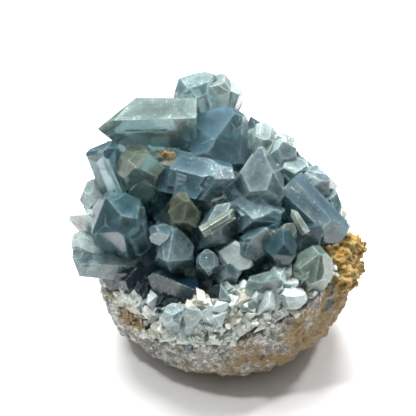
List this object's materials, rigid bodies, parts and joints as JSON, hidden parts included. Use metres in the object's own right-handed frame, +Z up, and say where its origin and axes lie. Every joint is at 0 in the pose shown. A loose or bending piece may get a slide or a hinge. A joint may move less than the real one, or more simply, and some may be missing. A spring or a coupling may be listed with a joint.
{
  "type": "celestite cluster",
  "caption": "Broken geode piece: grey-blue celestite crystals on a pale druse and a rounded rock matrix, with an ochre crust on one side.",
  "frame": {"origin": "on the table, under the middle of the specimen", "axes": "+Z up, -Y towards the front, where the dish of crystals opens and the rim is lowest, +X to the right of someone facing that front"},
  "size_m": [0.1084, 0.0884, 0.0985],
  "materials": {
    "matrix_rock": "rough",
    "pale_druse": "satin",
    "celestite": "gloss",
    "ochre": "rough"
  },
  "bodies": {
    "root": {"matrix": "matrix_rock", "druse": "pale_druse", "crystals": "celestite", "ochre_crust": "ochre"}
  },
  "joints": []
}
